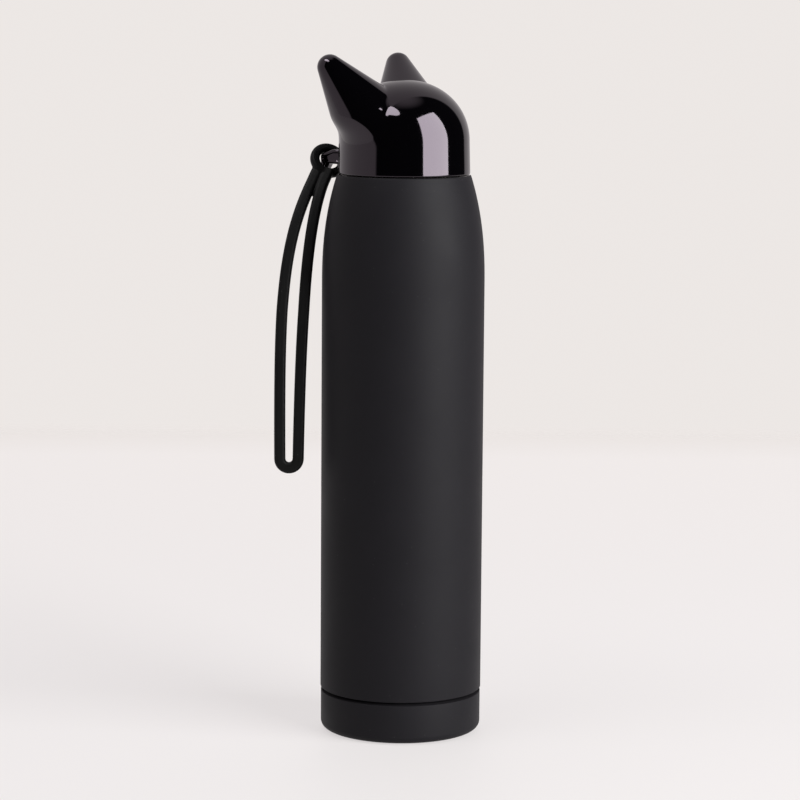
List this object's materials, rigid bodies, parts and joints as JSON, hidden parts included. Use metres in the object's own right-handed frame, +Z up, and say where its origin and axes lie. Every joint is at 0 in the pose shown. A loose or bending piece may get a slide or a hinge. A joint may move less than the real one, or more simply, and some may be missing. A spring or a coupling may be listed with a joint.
{
  "type": "vacuum flask",
  "caption": "Slim matt black vacuum flask with a gloss black screw cap shaped like a cat's head and a looped silicone carry strap.",
  "frame": {"origin": "centre of the resting face on the underside of the base pad", "axes": "+Z up along the flask's axis, +Y through the tongue that holds the strap, the two ears to either side of +Y"},
  "size_m": [0.066, 0.0759, 0.276],
  "materials": {
    "body_coating": "matt soft-touch powder coat",
    "cap_gloss": "high gloss",
    "silicone_black": "matt silicone",
    "seal_silicone": "satin silicone",
    "liner_plastic": "satin moulded",
    "foam": "closed-cell foam",
    "stainless": "satin",
    "copper": "bright foil",
    "getter": "sintered"
  },
  "bodies": {
    "flask": {"outer_shell": "body_coating", "base_cup": "body_coating", "base_pad": "silicone_black", "outer_end_plate": "stainless", "vacuum_seal": "stainless", "inner_vessel": "stainless", "inner_bottom": "stainless", "copper_foil": "copper", "getter_pellet": "getter", "getter_clip": "stainless"},
    "cap_seal": {"lip_gasket": "seal_silicone"},
    "cap": {"cap_shell": "cap_gloss", "cap_liner": "liner_plastic", "cap_insulation": "foam", "plug_body": "liner_plastic", "plug_cover": "liner_plastic", "plug_seal": "seal_silicone"},
    "strap": {"carry_strap": "silicone_black"}
  },
  "joints": [
    {"name": "cap_rise", "type": "slide", "parent": "flask", "child": "cap_seal", "axis": [0, 0, 1], "range_m": [0, 0.0241]},
    {"name": "cap_turn", "type": "hinge", "parent": "cap_seal", "child": "cap", "pos_m": [0, 0, 0.2283], "axis": [0, 0, 1], "range_deg": [0, 2160]},
    {"name": "strap_swing", "type": "hinge", "parent": "cap", "child": "strap", "pos_m": [0, 0.03657, 0.2322], "axis": [0, 1, 0], "range_deg": [0, 80]}
  ],
  "couplings": [
    {"joint": "cap_rise", "follows": "cap_turn", "m_per_rad": 0.00063662}
  ]
}
